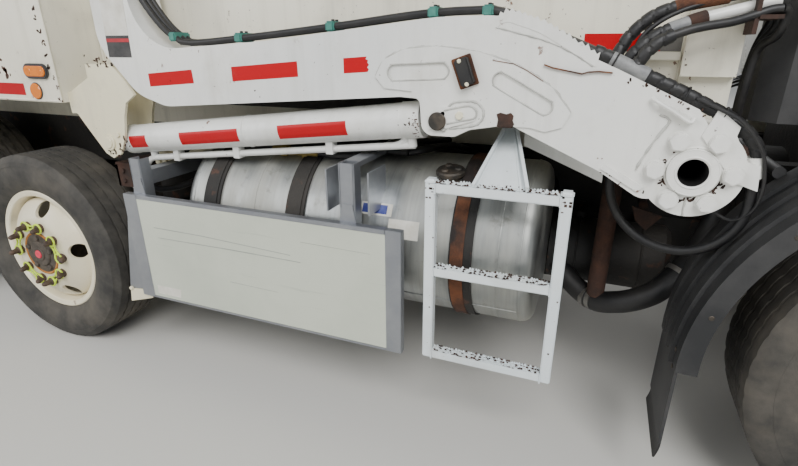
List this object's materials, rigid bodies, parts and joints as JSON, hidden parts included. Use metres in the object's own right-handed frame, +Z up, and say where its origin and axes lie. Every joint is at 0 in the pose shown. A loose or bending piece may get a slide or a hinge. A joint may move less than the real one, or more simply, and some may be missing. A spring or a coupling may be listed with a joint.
{
  "type": "front-loading garbage truck",
  "caption": "Cab-over garbage truck with stowed front-loading arms, open hopper, tailgate and wheels that turn.",
  "frame": {"origin": "centre of the footprint box, on the ground", "axes": "+X forward, +Y to the driver's left, +Z up"},
  "size_m": [9.8, 2.88, 3.792],
  "materials": {
    "white_paint": "gloss white enamel, chipped and stained",
    "chassis_paint": "black chassis paint with road dirt",
    "cast_engine": "oily cast iron",
    "tyre_rubber": "dusty black rubber",
    "wheel_enamel": "cream enamel on steel discs",
    "hopper_steel": "scoured steel",
    "chrome_rod": "hard chromed",
    "window_glass": "clear safety glass",
    "black_plastic": "moulded black polyethylene",
    "hose_rubber": "black hydraulic hose in a spiral wrap",
    "seat_cloth": "woven seat cloth",
    "tank_aluminium": "brushed, weathered",
    "bumper_steel": "black",
    "lamp_lens": "amber lens"
  },
  "bodies": {
    "root": {"access_step": "white_paint", "body_shell": "white_paint", "body_sills": "white_paint", "cab_shell": "white_paint", "dashboard": "black_plastic", "drive_axles": "chassis_paint", "driveline": "chassis_paint", "engine": "cast_engine", "frame": "chassis_paint", "frame_brackets": "chassis_paint", "front_bumper": "bumper_steel", "fuel_tank": "tank_aluminium", "hopper": "white_paint", "lamps": "lamp_lens", "lift_brackets": "white_paint", "mirrors_and_intake": "black_plastic", "oil_tank_and_battery_box": "white_paint", "pusher_axle": "chassis_paint", "rear_suspension": "chassis_paint", "seats": "seat_cloth", "side_guard": "tank_aluminium", "steer_axle": "chassis_paint", "steer_fenders": "black_plastic", "tank_straps": "chassis_paint", "windscreen": "window_glass"},
    "door_left": {"door_left": "white_paint", "door_glass_left": "window_glass"},
    "door_right": {"door_right": "white_paint", "door_glass_right": "window_glass"},
    "arms": {"arm_left": "white_paint", "arm_right": "white_paint", "arm_tubes": "white_paint", "pivot_hose": "hose_rubber"},
    "forks": {"forks": "white_paint"},
    "lift_barrels": {"lift_barrels": "white_paint"},
    "lift_rods": {"lift_rods": "chrome_rod"},
    "fork_barrels": {"fork_barrels": "white_paint"},
    "fork_rods": {"fork_rods": "chrome_rod"},
    "tailgate": {"tailgate": "white_paint"},
    "tailgate_barrels": {"tailgate_barrels": "white_paint"},
    "tailgate_rods": {"tailgate_rods": "chrome_rod"},
    "packer": {"packer_panel": "hopper_steel"},
    "knuckle_left": {"knuckle_left": "chassis_paint"},
    "knuckle_right": {"knuckle_right": "chassis_paint"},
    "steer_left": {"steer_wheel_left": "wheel_enamel", "steer_tyre_left": "tyre_rubber"},
    "pusher_left": {"pusher_wheel_left": "wheel_enamel", "pusher_tyre_left": "tyre_rubber"},
    "drive_front_left": {"drive_wheels_front_left": "wheel_enamel", "drive_tyres_front_left": "tyre_rubber"},
    "drive_rear_left": {"drive_wheels_rear_left": "wheel_enamel", "drive_tyres_rear_left": "tyre_rubber"},
    "steer_right": {"steer_wheel_right": "wheel_enamel", "steer_tyre_right": "tyre_rubber"},
    "pusher_right": {"pusher_wheel_right": "wheel_enamel", "pusher_tyre_right": "tyre_rubber"},
    "drive_front_right": {"drive_wheels_front_right": "wheel_enamel", "drive_tyres_front_right": "tyre_rubber"},
    "drive_rear_right": {"drive_wheels_rear_right": "wheel_enamel", "drive_tyres_rear_right": "tyre_rubber"}
  },
  "joints": [
    {"name": "arm_lift", "type": "hinge", "parent": "root", "child": "arms", "pos_m": [2.805, 0, 1.092], "axis": [0, 1, 0], "range_deg": [0, 90]},
    {"name": "fork_tilt", "type": "hinge", "parent": "arms", "child": "forks", "pos_m": [3.205, 0, 3.692], "axis": [0, 1, 0], "range_deg": [0, 100]},
    {"name": "lift_barrel_swing", "type": "hinge", "parent": "root", "child": "lift_barrels", "pos_m": [0.5946, 0, 1.02287], "axis": [0, 1, 0], "range_deg": [-14, 0.5]},
    {"name": "lift_rod_slide", "type": "slide", "parent": "lift_barrels", "child": "lift_rods", "axis": [0.9936, 0, 0.1132], "range_m": [0, 0.96]},
    {"name": "fork_barrel_swing", "type": "hinge", "parent": "arms", "child": "fork_barrels", "pos_m": [1.905, 0, 3.692], "axis": [0, 1, 0], "range_deg": [-7, 0.5]},
    {"name": "fork_rod_slide", "type": "slide", "parent": "fork_barrels", "child": "fork_rods", "axis": [0.9996, 0, 0.0278], "range_m": [0, 0.26]},
    {"name": "tailgate_open", "type": "hinge", "parent": "root", "child": "tailgate", "pos_m": [-4.03, 0, 3.772], "axis": [0, 1, 0], "range_deg": [0, 80]},
    {"name": "tailgate_barrel_swing", "type": "hinge", "parent": "root", "child": "tailgate_barrels", "pos_m": [-3.5, 0, 1.9], "axis": [0, 1, 0], "range_deg": [-0.5, 7]},
    {"name": "tailgate_rod_slide", "type": "slide", "parent": "tailgate_barrels", "child": "tailgate_rods", "axis": [-0.6185, 0, 0.7858], "range_m": [0, 1.12]},
    {"name": "packer_slide", "type": "slide", "parent": "root", "child": "packer", "axis": [-1, 0, 0], "range_m": [0, 1.9]},
    {"name": "door_left_open", "type": "hinge", "parent": "root", "child": "door_left", "pos_m": [4.741, 1.238, 1.2], "axis": [0, 0, -1], "range_deg": [0, 70]},
    {"name": "door_right_open", "type": "hinge", "parent": "root", "child": "door_right", "pos_m": [4.741, -1.238, 1.2], "axis": [0, 0, 1], "range_deg": [0, 70]},
    {"name": "steer_left", "type": "hinge", "parent": "root", "child": "knuckle_left", "pos_m": [3.57, 0.915, 0.53], "axis": [0, 0, 1], "range_deg": [-35, 35]},
    {"name": "steer_right", "type": "hinge", "parent": "root", "child": "knuckle_right", "pos_m": [3.57, -0.915, 0.53], "axis": [0, 0, 1], "range_deg": [-35, 35]},
    {"name": "steer_spin_left", "type": "hinge", "parent": "knuckle_left", "child": "steer_left", "pos_m": [3.57, 1.112, 0.53], "axis": [0, 1, 0], "continuous": true},
    {"name": "pusher_spin_left", "type": "hinge", "parent": "root", "child": "pusher_left", "pos_m": [0.124, 1.156, 0.475], "axis": [0, 1, 0], "continuous": true},
    {"name": "drive_spin_front_left", "type": "hinge", "parent": "root", "child": "drive_front_left", "pos_m": [-1.25, 0.92, 0.52], "axis": [0, 1, 0], "continuous": true},
    {"name": "drive_spin_rear_left", "type": "hinge", "parent": "root", "child": "drive_rear_left", "pos_m": [-2.6, 0.92, 0.52], "axis": [0, 1, 0], "continuous": true},
    {"name": "steer_spin_right", "type": "hinge", "parent": "knuckle_right", "child": "steer_right", "pos_m": [3.57, -1.112, 0.53], "axis": [0, 1, 0], "continuous": true},
    {"name": "pusher_spin_right", "type": "hinge", "parent": "root", "child": "pusher_right", "pos_m": [0.124, -1.156, 0.475], "axis": [0, 1, 0], "continuous": true},
    {"name": "drive_spin_front_right", "type": "hinge", "parent": "root", "child": "drive_front_right", "pos_m": [-1.25, -0.92, 0.52], "axis": [0, 1, 0], "continuous": true},
    {"name": "drive_spin_rear_right", "type": "hinge", "parent": "root", "child": "drive_rear_right", "pos_m": [-2.6, -0.92, 0.52], "axis": [0, 1, 0], "continuous": true}
  ],
  "couplings": [
    {"joint": "lift_barrel_swing", "follows": "arm_lift", "ratio": -0.13879},
    {"joint": "lift_rod_slide", "follows": "arm_lift", "m_per_rad": 0.6044},
    {"joint": "fork_barrel_swing", "follows": "fork_tilt", "ratio": -0.05487},
    {"joint": "fork_rod_slide", "follows": "fork_tilt", "m_per_rad": 0.14259},
    {"joint": "tailgate_barrel_swing", "follows": "tailgate_open", "ratio": 0.05664},
    {"joint": "tailgate_rod_slide", "follows": "tailgate_open", "m_per_rad": 0.77956},
    {"joint": "steer_right", "follows": "steer_left", "ratio": 1}
  ]
}
